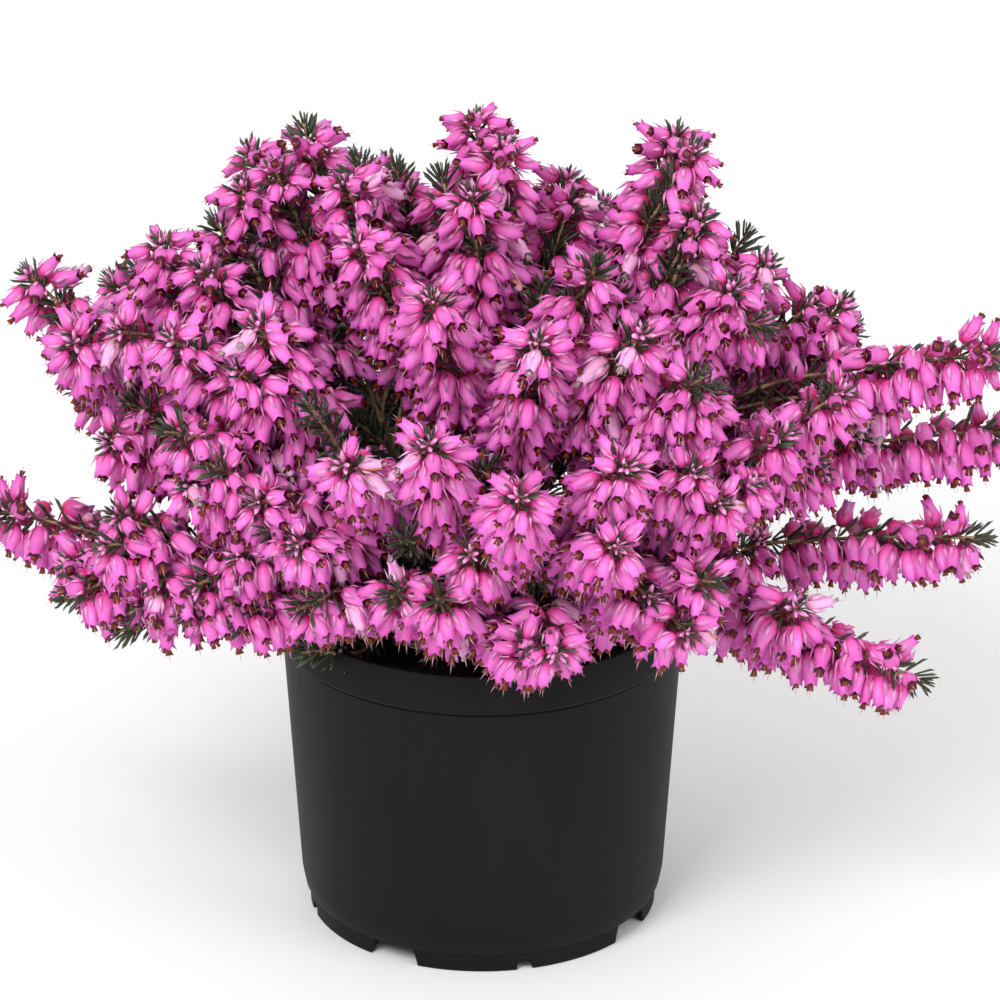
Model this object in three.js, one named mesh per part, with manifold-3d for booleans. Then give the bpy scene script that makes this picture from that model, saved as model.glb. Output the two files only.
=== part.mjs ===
// A winter heath in flower, growing in a plain round nursery pot.
// Millimetres, +Z up. The origin is on the pot's axis, on the surface that the pot stands on.
// The viewer of the front looks along +Y, with +X to the right.

import * as THREE from 'three';
import { mergeVertices } from 'three/addons/utils/BufferGeometryUtils.js';
import Module from 'manifold-3d';

const wasm = await Module();
wasm.setup();

// Clearance kept between pieces that touch on the real plant
const GAP = 0.3;

// Pot: thin moulded wall, a rim band, and a foot ring cut into feet
const POT_HEIGHT = 91.5;
const POT_RIM_RADIUS = 55;
const POT_BAND_HEIGHT = 11.3;
const POT_BAND_STEP = 0.6;
const POT_BASE_RADIUS = 48.3;
const POT_WALL = 1.3;
const POT_SIDES = 26;
const FOOT_HEIGHT = 4.7;
const FOOT_OUTER_RADIUS = 46.6;
const FOOT_INNER_RADIUS = 44.6;
const FLOOR_THICKNESS = 1.4;
const CENTRE_DISC_RADIUS = 14;
const BAND_DRAFT = 0.2;
const RIM_ROUND = 0.6;
const WALL_ROUND = { inset: 1, height: 6 };
const WIDE_GAP = { width: 15, height: 4.6, firstAzimuth: -31 };
const NARROW_GAP = { width: 4, height: 2.4, firstAzimuth: 14 };
const FOOT_CUT_DEPTH = 8;
const DRAIN_HOLE = { radius: 3.5, sides: 8, cutHeight: 20, ringRadius: 31, count: 6 };

// Peat, filled to a little below the rim and slightly mounded
const SOIL_EDGE_HEIGHT = 83;
const SOIL_SHOULDER = { radius: 34, height: 85.2 };
const SOIL_MIDDLE_HEIGHT = 86.5;

// Four rooted plants, one to each quarter of the pot
const TRUNK_RADIUS = 2.6;
const TRUNK_FOOT_HEIGHT = 45;
const TRUNK_TOP_HEIGHT = 97;
const TRUNK_RING_RADIUS = 17;
const TRUNK_HOLE_CLEARANCE = 0.9;
const TRUNK_SIDES = 6;

// Stems: each starts this deep in its trunk, leans out of it towards its spray, and ends
// straight under the flowers
const STEM_RADIUS = 1.1;
const STEM_START_DEPTH = 4;
const STEM_OUTWARD_LEAN = 1.5;
const STEM_CURVE_START = 0.3;
const STEM_CURVE_END = 0.36;
const STEM_END_LENGTH = 3;
const STEM_TOLERANCE = 0.05;

// Needles: whorls of four on the stems, and a tuft at each tip
const STEM_WHORLS = 2;
const FIRST_WHORL_AT = 0.35;
const WHORL_HEIGHT = 1.3;
const NEEDLE_LENGTH = 7;
const NEEDLE_SPREAD = 52;
const TUFT_SPREAD = 40;
const TUFT_LENGTH = 5;
const TUFT_STANDOFF = 1.2;
const NEEDLE_FREE_ZONE = 9;

// Flowers: a slim sleeve of short stalks round the stem, with the bells standing out of it
const SLEEVE_RADIUS = 3.7;
const SLEEVE_BORE = 1.75;
const SLEEVE_SIDES = 6;
const ROW_SPACING = 10.8;
const ROW_TWIST = 9;
const BELL_LENGTH = 12.2;
const BELL_HALF_WIDTH = 3.8;
const BELL_WAIST = 0.5;
const BELL_DROOP = 0.8;
const BELL_LEAST_HANG = 0.45;
const BELL_SIZES = [0.9, 1.05];
const BELL_SIZE_STEP = 0.1;
const BELL_LEAST_SIZE = 0.6;

// Side sprays: each grows out of the wall of its host's sleeve, bare and thin at first
const SIDE_START_RADIUS = 2.4;
const SIDE_THIN = { length: 3, radius: 1.4 };
const SIDE_CORE_RADIUS = 3.1;
const SIDE_TIP_LENGTH = 5;

// How far round its own axis each spray and each stem keeps the space to itself
const SPRAY_ROOM = 9;
const STEM_ROOM = 1.6;
const ROOM_LEAD = 2;
const ROOM_STEPS = 6;

// A stem forks from an earlier one of its plant that runs within this angle of it
const FORK_ANGLE = 40;
const FORK_AT = [0.35, 0.6];

// Sprays of each plant: azimuth of the tip (0 to the viewer, 90 to the right), its reach from
// the pot's axis, its height, the rise of the spray above level, and the length in flower
const PLANTS = {
  front: {
    azimuth: 0,
    sprays: [
      [-15, 12, 213, 74, 45],
      [-15, 52, 200, 60, 48],
      [14, 62, 192, 58, 50],
      [-26, 84, 163, 35, 45],
      [-10, 82, 172, 52, 45],
      [6, 95, 163, 42, 45],
      [-8, 86, 129, 30, 40],
      [8, 86, 112, 8, 38],
      [26, 87, 164, 42, 42],
      [22, 95, 145, 25, 40],
      [37, 70, 192, 52, 46],
      [40, 96, 128, 20, 42],
      [-43, 85, 138, 24, 40],
      [-37, 82, 116, 10, 38],
      [45, 82, 180, 42, 42],
    ],
  },
  right: {
    azimuth: 90,
    sprays: [
      [51, 40, 199, 64, 45],
      [46, 88, 145, 28, 40],
      [67, 128, 87, -12, 58],
      [74, 94, 142, 22, 42],
      [86, 59, 204, 64, 45],
      [94, 77, 186, 58, 42],
      [97, 98, 171, 50, 48],
      [86, 140, 164, 8, 48],
      [92, 141, 135, 5, 46],
      [88, 136, 108, 2, 56],
      [111, 56, 217, 72, 50],
      [125, 88, 174, 48, 46],
      [120, 118, 142, 22, 46],
      [130, 112, 112, 6, 44],
    ],
  },
  back: {
    azimuth: 180,
    sprays: [
      [146, 42, 198, 66, 42],
      [155, 80, 174, 50, 46],
      [148, 112, 150, 26, 46],
      [172, 104, 160, 32, 45],
      [158, 108, 116, 8, 44],
      [-177, 25, 219, 80, 50],
      [-155, 62, 193, 60, 46],
      [-160, 96, 170, 40, 45],
      [-140, 110, 146, 24, 46],
      [-168, 104, 124, 12, 44],
    ],
  },
  left: {
    azimuth: -90,
    sprays: [
      [-118, 54, 217, 74, 50],
      [-128, 80, 200, 58, 46],
      [-115, 112, 162, 36, 46],
      [-120, 116, 116, 8, 46],
      [-99, 65, 206, 70, 52],
      [-87, 86, 196, 66, 50],
      [-94, 122, 181, 48, 46],
      [-107, 35, 214, 76, 45],
      [-79, 97, 155, 34, 42],
      [-85, 131, 120, 18, 50],
      [-103, 113, 140, 20, 46],
      [-53, 42, 205, 62, 50],
      [-55, 80, 178, 50, 46],
      [-53, 91, 154, 36, 44],
      [-68, 106, 132, 30, 46],
    ],
  },
};

// Side sprays: the main spray that carries each, how far up its length the fork is, and the
// azimuth, reach and height of the side spray's tip
const SIDE_SPRAYS = [
  ['left_06', 0.3, -73, 101, 180],
  ['left_06', 0.35, -99, 95, 180],
  ['left_07', 0.25, -79, 110, 173],
  ['left_09', 0.35, -76, 104, 146],
  ['left_14', 0.2, -59, 92, 144],
  ['left_15', 0.2, -61, 100, 115],
  ['right_04', 0.35, 75, 100, 162],
  ['right_05', 0.3, 72, 81, 178],
  ['right_02', 0.35, 64, 91, 156],
  ['right_07', 0.2, 87, 112, 150],
  ['right_03', 0.2, 59, 97, 109],
  ['front_12', 0.2, 35, 95, 114],
];

const UP = new THREE.Vector3(0, 0, 1);
const DOWN = new THREE.Vector3(0, 0, -1);

// Colours of the real materials
const potPlastic = new THREE.MeshStandardMaterial({ color: 0x2a2a2a, roughness: 0.5, metalness: 0 });
const peat = new THREE.MeshStandardMaterial({ color: 0x2e221a, roughness: 0.95, metalness: 0 });
const foliage = new THREE.MeshStandardMaterial({ color: 0x46583c, roughness: 0.6, metalness: 0 });
const petal = new THREE.MeshStandardMaterial({ color: 0xde54c4, roughness: 0.5, metalness: 0 });

// The same sequence of draws every time the model is built
let seed = 20261;
function draw(low, high) {
  seed = (seed * 48271) % 2147483647;
  return low + ((high - low) * seed) / 2147483647;
}

function radians(degrees) {
  return THREE.MathUtils.degToRad(degrees);
}

// A level unit vector at an azimuth
function heading(azimuth) {
  return new THREE.Vector3(Math.sin(radians(azimuth)), -Math.cos(radians(azimuth)), 0);
}

function along(point, direction, distance) {
  return point.clone().addScaledVector(direction, distance);
}

// A closed solid from a geometry: shared corners merged and flat slivers left out
function toSolid(geometry) {
  const bare = geometry.clone();
  bare.deleteAttribute('normal');
  bare.deleteAttribute('uv');
  const merged = mergeVertices(bare, 1e-4);
  const corners = [];
  for (let i = 0; i < merged.index.count; i += 3) {
    const [a, b, c] = [0, 1, 2].map((k) => merged.index.getX(i + k));
    if (a !== b && b !== c && c !== a) corners.push(a, b, c);
  }
  return new wasm.Manifold(new wasm.Mesh({
    numProp: 3,
    vertProperties: new Float32Array(merged.attributes.position.array),
    triVerts: new Uint32Array(corners),
  }));
}

function toGeometry(solid) {
  const mesh = solid.getMesh();
  const geometry = new THREE.BufferGeometry();
  geometry.setAttribute('position', new THREE.BufferAttribute(mesh.vertProperties, 3));
  geometry.setIndex(new THREE.BufferAttribute(mesh.triVerts, 1));
  geometry.computeVertexNormals();
  return geometry;
}

function namedMesh(name, geometry, material) {
  const mesh = new THREE.Mesh(geometry, material);
  mesh.name = name;
  return mesh;
}

// A turned shape about the Z axis, from [radius, height] pairs that start and end on the axis
function turned(profile, sides) {
  const points = profile.map(([radius, height]) => new THREE.Vector2(radius, height));
  return new THREE.LatheGeometry(points, sides).rotateX(Math.PI / 2);
}

// Radius of the inner face of the pot's wall at a height
function potInnerRadius(height) {
  const slope = (POT_RIM_RADIUS - POT_BAND_STEP - POT_BASE_RADIUS) / (POT_HEIGHT - FOOT_HEIGHT);
  return POT_BASE_RADIUS - POT_WALL + slope * (height - FOOT_HEIGHT);
}

// Pot: turned in one piece, then the foot ring and the floor cut through
function buildPot() {
  const bandFoot = POT_HEIGHT - POT_BAND_HEIGHT;
  const wallFoot = FOOT_HEIGHT + WALL_ROUND.height;
  const floorTop = FOOT_HEIGHT + FLOOR_THICKNESS;
  const rampRadius = CENTRE_DISC_RADIUS + FOOT_HEIGHT;
  let pot = toSolid(turned([
    [0, 0],
    [CENTRE_DISC_RADIUS, 0],
    [rampRadius, FOOT_HEIGHT],
    [FOOT_INNER_RADIUS, FOOT_HEIGHT],
    [FOOT_INNER_RADIUS, 0],
    [FOOT_OUTER_RADIUS, 0],
    [FOOT_OUTER_RADIUS, FOOT_HEIGHT],
    [POT_BASE_RADIUS - WALL_ROUND.inset, FOOT_HEIGHT],
    [potInnerRadius(wallFoot) + POT_WALL, wallFoot],
    [potInnerRadius(bandFoot) + POT_WALL, bandFoot],
    [POT_RIM_RADIUS - BAND_DRAFT, bandFoot + POT_BAND_STEP],
    [POT_RIM_RADIUS, POT_HEIGHT - RIM_ROUND],
    [POT_RIM_RADIUS - RIM_ROUND, POT_HEIGHT],
    [POT_RIM_RADIUS - POT_BAND_STEP - POT_WALL, POT_HEIGHT],
    [potInnerRadius(floorTop + WALL_ROUND.height), floorTop + WALL_ROUND.height],
    [potInnerRadius(floorTop) - WALL_ROUND.inset, floorTop],
    [rampRadius - FLOOR_THICKNESS / 2, floorTop],
    [CENTRE_DISC_RADIUS - FLOOR_THICKNESS / 2, FLOOR_THICKNESS],
    [0, FLOOR_THICKNESS],
  ], POT_SIDES));
  for (let quarter = 0; quarter < 4; quarter += 1) {
    for (const cut of [WIDE_GAP, NARROW_GAP]) {
      const azimuth = cut.firstAzimuth + 90 * quarter;
      const centre = heading(azimuth).multiplyScalar(FOOT_OUTER_RADIUS);
      const block = new THREE.BoxGeometry(cut.width, FOOT_CUT_DEPTH, 2 * cut.height)
        .rotateZ(radians(azimuth))
        .translate(centre.x, centre.y, 0);
      pot = pot.subtract(toSolid(block));
    }
  }
  const { radius, sides, cutHeight, ringRadius, count } = DRAIN_HOLE;
  for (let i = 0; i < count; i += 1) {
    const centre = heading((360 * i) / count).multiplyScalar(ringRadius);
    const plug = new THREE.CylinderGeometry(radius, radius, cutHeight, sides)
      .rotateX(Math.PI / 2)
      .translate(centre.x, centre.y, 0);
    pot = pot.subtract(toSolid(plug));
  }
  return namedMesh('pot', toGeometry(pot), potPlastic);
}

// Peat plug with a plain hole for each trunk
function buildSoil() {
  const bottom = FOOT_HEIGHT + FLOOR_THICKNESS + GAP;
  const rampRadius = CENTRE_DISC_RADIUS + FOOT_HEIGHT - FLOOR_THICKNESS / 2 - GAP;
  let soil = toSolid(turned([
    [0, FLOOR_THICKNESS + GAP],
    [CENTRE_DISC_RADIUS - FLOOR_THICKNESS / 2 - GAP, FLOOR_THICKNESS + GAP],
    [rampRadius, bottom],
    [potInnerRadius(bottom) - WALL_ROUND.inset - GAP, bottom],
    [potInnerRadius(bottom + WALL_ROUND.height) - GAP, bottom + WALL_ROUND.height],
    [potInnerRadius(SOIL_EDGE_HEIGHT) - GAP, SOIL_EDGE_HEIGHT],
    [SOIL_SHOULDER.radius, SOIL_SHOULDER.height],
    [0, SOIL_MIDDLE_HEIGHT],
  ], POT_SIDES));
  const holeRadius = TRUNK_RADIUS + TRUNK_HOLE_CLEARANCE;
  for (const plant of Object.values(PLANTS)) {
    const foot = heading(plant.azimuth).multiplyScalar(TRUNK_RING_RADIUS);
    const depth = POT_HEIGHT - TRUNK_FOOT_HEIGHT + GAP;
    const plug = new THREE.CylinderGeometry(holeRadius, holeRadius, depth, TRUNK_SIDES)
      .rotateX(Math.PI / 2)
      .translate(foot.x, foot.y, POT_HEIGHT - depth / 2);
    soil = soil.subtract(toSolid(plug));
  }
  return namedMesh('soil', toGeometry(soil), peat);
}

// Each spray: a straight flowering axis, and a stem that curves up to it from its trunk,
// or from a stem of the same plant that runs nearly its way
function layOutSpray(plantName, number, trunkTop, row, elder) {
  const [azimuth, reach, height, rise, length] = row;
  const axis = heading(azimuth).multiplyScalar(Math.cos(radians(rise)));
  axis.z = Math.sin(radians(rise));
  const tip = heading(azimuth).multiplyScalar(reach);
  tip.z = height;
  const base = along(tip, axis, -length);
  const top = along(tip, axis, -TUFT_LENGTH);
  const joint = along(base, axis, -STEM_END_LENGTH);
  const run = joint.clone().sub(trunkTop);
  const host = elder
    .filter((other) => !other.host && other.run.angleTo(run) < radians(FORK_ANGLE))
    .sort((one, two) => one.run.angleTo(run) - two.run.angleTo(run))[0];
  const u = draw(...FORK_AT);
  const start = host ? host.curve.getPointAt(u) : along(trunkTop, UP, -STEM_START_DEPTH);
  const span = joint.distanceTo(start);
  const towardsSpray = joint.clone().sub(start).divideScalar(span);
  const outset = along(host ? host.curve.getTangentAt(u) : UP, towardsSpray, STEM_OUTWARD_LEAN);
  outset.normalize();
  const curve = new THREE.CubicBezierCurve3(
    start,
    along(start, outset, STEM_CURVE_START * span),
    along(joint, axis, -STEM_CURVE_END * span),
    joint,
  );
  const name = `${plantName}_${String(number).padStart(2, '0')}`;
  return { name, plantName, axis, tip, base, top, joint, run, curve, host };
}

const sprays = [];
for (const [plantName, plant] of Object.entries(PLANTS)) {
  const trunkTop = heading(plant.azimuth).multiplyScalar(TRUNK_RING_RADIUS);
  trunkTop.z = TRUNK_TOP_HEIGHT;
  plant.sprays.forEach((row, i) => {
    const elder = sprays.filter((spray) => spray.plantName === plantName);
    sprays.push(layOutSpray(plantName, i + 1, trunkTop, row, elder));
  });
}

// Each side spray: a straight axis from the wall of its host's sleeve to its own tip
const sideSprays = SIDE_SPRAYS.map(([hostName, fork, azimuth, reach, height]) => {
  const host = sprays.find((spray) => spray.name === hostName);
  const tip = heading(azimuth).multiplyScalar(reach);
  tip.z = height;
  const forkPoint = host.base.clone().lerp(host.tip, fork);
  const out = tip.clone().sub(forkPoint);
  out.addScaledVector(host.axis, -out.dot(host.axis)).normalize();
  const base = along(forkPoint, out, SIDE_START_RADIUS);
  const axis = tip.clone().sub(base).normalize();
  return { host, axis, tip, base, top: along(tip, axis, -SIDE_TIP_LENGTH) };
});

// Straight pieces of every axis and stem, which share out the space between them
const rods = [];
for (const spray of sideSprays) {
  rods.push({ line: new THREE.Line3(spray.base, spray.tip), room: SPRAY_ROOM, spray, inFlower: true });
}
for (const spray of sprays) {
  rods.push({
    line: new THREE.Line3(along(spray.base, spray.axis, -ROOM_LEAD), spray.tip),
    room: SPRAY_ROOM,
    spray,
    inFlower: true,
  });
  const points = spray.curve.getSpacedPoints(ROOM_STEPS);
  for (let i = 0; i < ROOM_STEPS; i += 1) {
    rods.push({ line: new THREE.Line3(points[i], points[i + 1]), room: STEM_ROOM, spray, inFlower: false });
  }
}

// Distance from a point to the room that a rod keeps to itself
const nearest = new THREE.Vector3();
function outside(rod, point) {
  rod.line.closestPointToPoint(point, true, nearest);
  return nearest.distanceTo(point) - rod.room;
}

// Whether a point lies on its own rod's side of the halfway surface to each of the others
function hasRoom(point, own, others) {
  const limit = outside(own, point) + 2 * GAP;
  return others.every((rod) => outside(rod, point) >= limit);
}

// The flowers of one spray: rows of bells drawn out of the faces of a slim core, which is a
// sleeve round the stem of a main spray and solid in a side spray
function buildFlowers(spray, isSide) {
  const own = rods.find((rod) => rod.spray === spray && rod.inFlower);
  const others = rods.filter((rod) => rod.spray !== spray);
  const sleeveLength = spray.base.distanceTo(spray.top);
  const rows = Math.round(sleeveLength / ROW_SPACING);
  const side = new THREE.Vector3().crossVectors(spray.axis, UP).normalize();
  const across = new THREE.Vector3().crossVectors(spray.axis, side);
  const positions = [];
  const faces = [];

  function addPoint(point) {
    positions.push(point.x, point.y, point.z);
    return positions.length / 3 - 1;
  }
  function pointAt(index) {
    return new THREE.Vector3().fromArray(positions, 3 * index);
  }
  function addRing(distance, radius, twist) {
    const ring = [];
    for (let k = 0; k < SLEEVE_SIDES; k += 1) {
      const angle = radians((360 * k) / SLEEVE_SIDES + twist);
      const centre = along(spray.base, spray.axis, distance);
      const out = side.clone().multiplyScalar(Math.cos(angle)).addScaledVector(across, Math.sin(angle));
      ring.push(addPoint(along(centre, out, radius)));
    }
    return ring;
  }
  function addQuad(a, b, c, d) {
    faces.push(a, b, c, a, c, d);
  }

  // One bell on the face a-b-c-d, or the plain face where there is no room for one
  function addBell(a, b, c, d) {
    const corners = [a, b, c, d].map(pointAt);
    const centre = corners.reduce((sum, p) => sum.add(p), new THREE.Vector3()).multiplyScalar(0.25);
    const fromAxis = centre.clone().sub(spray.base);
    fromAxis.addScaledVector(spray.axis, -fromAxis.dot(spray.axis)).normalize();
    const hang = along(fromAxis, DOWN, BELL_DROOP);
    const size = draw(...BELL_SIZES);
    if (hang.length() > BELL_LEAST_HANG) {
      hang.normalize();
      const wide = corners[1].clone().sub(corners[0]);
      wide.addScaledVector(hang, -wide.dot(hang)).normalize();
      const tall = new THREE.Vector3().crossVectors(hang, wide);
      for (let scale = size; scale >= BELL_LEAST_SIZE; scale -= BELL_SIZE_STEP) {
        const half = BELL_HALF_WIDTH * scale;
        const waist = along(centre, hang, BELL_WAIST * BELL_LENGTH * scale);
        const mouth = along(centre, hang, BELL_LENGTH * scale);
        const waistCorners = [[-1, -1], [1, -1], [1, 1], [-1, 1]].map(([i, j]) => (
          along(along(waist, wide, i * half), tall, j * half)
        ));
        const ends = [...waistCorners, mouth];
        const belowTuft = ends.every((p) => p.clone().sub(spray.top).dot(spray.axis) < -GAP);
        if (belowTuft && ends.every((p) => hasRoom(p, own, others))) {
          const ring = waistCorners.map(addPoint);
          const end = addPoint(mouth);
          const base = [a, b, c, d];
          for (let i = 0; i < 4; i += 1) {
            const next = (i + 1) % 4;
            addQuad(base[i], base[next], ring[next], ring[i]);
            faces.push(ring[i], ring[next], end);
          }
          return;
        }
      }
    }
    addQuad(a, b, c, d);
  }

  const outer = [];
  const twist = draw(0, 360);
  for (let j = 0; j <= rows; j += 1) {
    const isEnd = j === 0 || j === rows;
    const sleeveRadius = isEnd ? SLEEVE_BORE : SLEEVE_RADIUS;
    const coreRadius = isEnd ? SIDE_THIN.radius : SIDE_CORE_RADIUS;
    const start = isSide && j === 0 ? SIDE_THIN.length : 0;
    const distance = Math.max((sleeveLength * j) / rows, start);
    outer.push(addRing(distance, isSide ? coreRadius : sleeveRadius, twist + ROW_TWIST * j));
  }
  for (let j = 0; j < rows; j += 1) {
    for (let k = 0; k < SLEEVE_SIDES; k += 1) {
      const next = (k + 1) % SLEEVE_SIDES;
      const face = [outer[j][k], outer[j][next], outer[j + 1][next], outer[j + 1][k]];
      if ((j + k) % 2 === 0) {
        addBell(...face);
      } else {
        addQuad(...face);
      }
    }
  }
  const foot = isSide ? addPoint(spray.base) : null;
  const tip = isSide ? addPoint(spray.tip) : null;
  for (let k = 0; k < SLEEVE_SIDES; k += 1) {
    const next = (k + 1) % SLEEVE_SIDES;
    if (isSide) {
      faces.push(outer[0][next], outer[0][k], foot, outer[rows][k], outer[rows][next], tip);
    } else {
      addQuad(outer[0][next], outer[0][k], outer[rows][k], outer[rows][next]);
    }
  }
  const geometry = new THREE.BufferGeometry();
  geometry.setAttribute('position', new THREE.Float32BufferAttribute(positions, 3));
  geometry.setIndex(faces);
  return geometry;
}

// One main spray with the side sprays that grow out of it
function buildSpray(spray) {
  const main = buildFlowers(spray, false);
  const sides = sideSprays.filter((side) => side.host === spray).map((side) => buildFlowers(side, true));
  const grown = wasm.Manifold.union([main, ...sides].map(toSolid));
  return namedMesh(`spray_${spray.name}`, toGeometry(grown), petal);
}

// The middle and the end of a needle that leans forward from one face of a square stem
function needleAt(point, forward, outward, spread) {
  const root = along(point, outward, STEM_RADIUS * Math.SQRT1_2);
  const direction = forward.clone().multiplyScalar(Math.cos(radians(spread)))
    .addScaledVector(outward, Math.sin(radians(spread)));
  return [along(root, direction, NEEDLE_LENGTH / 2), along(root, direction, NEEDLE_LENGTH)];
}

// Where a stem turns, where its whorls of needles stand, and the tuft at its tip
function stationsOf(spray) {
  const length = spray.curve.getLength();
  const first = FIRST_WHORL_AT * length;
  const last = length - NEEDLE_FREE_ZONE;
  const stations = [];
  function addStation(point, tangent, whorl) {
    stations.push({ point, tangent, whorl });
  }
  addStation(spray.curve.getPointAt(0), spray.curve.getTangentAt(0), null);
  for (let i = 0; i < STEM_WHORLS; i += 1) {
    const u = (first + ((last - first) * i) / (STEM_WHORLS - 1)) / length;
    const point = spray.curve.getPointAt(u);
    const tangent = spray.curve.getTangentAt(u);
    const next = along(point, tangent, WHORL_HEIGHT);
    const room = { line: new THREE.Line3(point, next), room: STEM_ROOM };
    const whorl = { spread: NEEDLE_SPREAD, room };
    addStation(along(point, tangent, -WHORL_HEIGHT / 2), tangent, whorl);
    addStation(along(point, tangent, WHORL_HEIGHT / 2), tangent, null);
  }
  addStation(spray.joint, spray.axis, null);
  const room = rods.find((rod) => rod.spray === spray && rod.inFlower);
  const tuftFoot = along(spray.top, spray.axis, TUFT_STANDOFF);
  addStation(tuftFoot, spray.axis, { spread: TUFT_SPREAD, room });
  addStation(along(tuftFoot, spray.axis, WHORL_HEIGHT), spray.axis, null);
  return stations;
}

// One stem: a square rod from its fork to its tip, with needles drawn out of its faces in
// whorls, each whorl an eighth of a turn round from the last
function buildStem(spray) {
  const abroad = rods.filter((rod) => (
    rod.spray !== spray && (rod.inFlower || (rod.spray !== spray.host && rod.spray.host !== spray))
  ));
  const stations = stationsOf(spray);
  const positions = [];
  const faces = [];
  const side = new THREE.Vector3().crossVectors(stations[0].tangent, new THREE.Vector3(1, 0, 0));
  let turn = 0;
  let lower = null;
  let whorl = null;

  function addPoint(point) {
    positions.push(point.x, point.y, point.z);
    return positions.length / 3 - 1;
  }
  function addPeak(ring, point) {
    const peak = addPoint(point);
    ring.forEach((corner, i) => faces.push(corner, ring[(i + 1) % ring.length], peak));
  }

  stations.forEach(({ point, tangent, whorl: nextWhorl }, index) => {
    side.addScaledVector(tangent, -side.dot(tangent)).normalize();
    if (nextWhorl) turn += 45;
    const ring = [0, 90, 180, 270].map((angle) => {
      const outward = side.clone().applyAxisAngle(tangent, radians(angle + turn));
      return addPoint(along(point, outward, STEM_RADIUS));
    });
    if (index === 0) faces.push(ring[2], ring[1], ring[0], ring[3], ring[2], ring[0]);
    for (let k = 0; lower && k < 4; k += 1) {
      const next = (k + 1) % 4;
      const face = [lower[k], lower[next], ring[next], ring[k]];
      const outward = side.clone().applyAxisAngle(tangent, radians(90 * k + 45 + turn));
      const needle = whorl && needleAt(point, tangent, outward, whorl.spread);
      if (whorl && needle.every((p) => hasRoom(p, whorl.room, abroad))) {
        addPeak(face, needle[1]);
      } else {
        faces.push(face[0], face[1], face[2], face[0], face[2], face[3]);
      }
    }
    lower = ring;
    whorl = nextWhorl;
  });
  addPeak(lower, spray.tip);
  const geometry = new THREE.BufferGeometry();
  geometry.setAttribute('position', new THREE.Float32BufferAttribute(positions, 3));
  geometry.setIndex(faces);
  return geometry;
}

// The trunk of one plant with all its stems and needles, grown together
function buildStems(plantName, plant) {
  const foot = heading(plant.azimuth).multiplyScalar(TRUNK_RING_RADIUS);
  const height = TRUNK_TOP_HEIGHT - TRUNK_FOOT_HEIGHT;
  const trunk = new THREE.CylinderGeometry(TRUNK_RADIUS, TRUNK_RADIUS, height, TRUNK_SIDES)
    .rotateX(Math.PI / 2)
    .translate(foot.x, foot.y, TRUNK_FOOT_HEIGHT + height / 2);
  const stems = sprays.filter((spray) => spray.plantName === plantName).map(buildStem);
  const grown = wasm.Manifold.union([trunk, ...stems].map(toSolid)).simplify(STEM_TOLERANCE);
  const outermost = grown.decompose().sort((one, two) => two.volume() - one.volume())[0];
  return namedMesh(`stems_${plantName}`, toGeometry(outermost), foliage);
}

const heath = new THREE.Group();
heath.add(buildPot());
heath.add(buildSoil());
for (const [plantName, plant] of Object.entries(PLANTS)) {
  heath.add(buildStems(plantName, plant));
}
for (const spray of sprays) {
  heath.add(buildSpray(spray));
}

export default heath;
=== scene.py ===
# %% [markdown]
# # A winter heath in flower, in its nursery pot
# The plant is a low evergreen shrub: four rooted cuttings in one 11 cm pot, about fifty leafy
# stems that lean out over the rim, and a spray of nodding pink bells along the end of each.
# The solids of the part already say where every spray and stem runs. This script dresses
# them: it repeats the same plan of the plant and sets fine bells, needles and bark on it.

import math

import bpy
import numpy as np
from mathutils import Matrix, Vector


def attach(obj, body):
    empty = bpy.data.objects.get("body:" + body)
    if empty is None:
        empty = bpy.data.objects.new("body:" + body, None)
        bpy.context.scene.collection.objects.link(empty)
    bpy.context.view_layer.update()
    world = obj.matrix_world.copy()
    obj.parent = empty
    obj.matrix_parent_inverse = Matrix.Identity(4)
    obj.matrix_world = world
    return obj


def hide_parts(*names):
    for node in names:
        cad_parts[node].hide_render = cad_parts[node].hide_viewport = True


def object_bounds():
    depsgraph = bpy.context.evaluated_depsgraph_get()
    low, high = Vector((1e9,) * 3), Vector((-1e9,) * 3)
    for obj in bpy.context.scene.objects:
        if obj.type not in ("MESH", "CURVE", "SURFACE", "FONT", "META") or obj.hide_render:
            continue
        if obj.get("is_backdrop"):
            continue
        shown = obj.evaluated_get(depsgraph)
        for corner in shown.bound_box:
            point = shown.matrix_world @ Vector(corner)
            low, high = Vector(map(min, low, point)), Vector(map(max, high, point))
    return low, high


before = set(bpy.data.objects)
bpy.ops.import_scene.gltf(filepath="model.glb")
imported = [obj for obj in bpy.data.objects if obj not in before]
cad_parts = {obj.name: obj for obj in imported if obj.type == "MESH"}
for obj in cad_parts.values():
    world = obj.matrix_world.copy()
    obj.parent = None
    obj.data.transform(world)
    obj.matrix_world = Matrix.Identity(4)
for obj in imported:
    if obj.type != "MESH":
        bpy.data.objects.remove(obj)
cad_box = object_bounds()
bpy.ops.object.select_all(action="DESELECT")
MM = 0.001
print("frame:", len(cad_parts), "solids")

# %% [markdown]
# ## Camera
# A long lens from three metres away keeps the pot's sides nearly parallel. It looks down by
# about 25 degrees, because the photograph shows the rim and the foot as flat ellipses. The
# camera is turned to its aim with a track quaternion, so no angle has to be guessed twice.

# %% Camera
from mathutils import Matrix, Vector

VIEW_ELEVATION = math.radians(25.5)
VIEW_DISTANCE = 3.0
VIEW_CENTRE = Vector((0, 0, 0.100))  # the camera stands back from here
VIEW_AIM = Vector((0.0047, 0, 0.1172))
LENS, SENSOR = 404.5, 36

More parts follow.
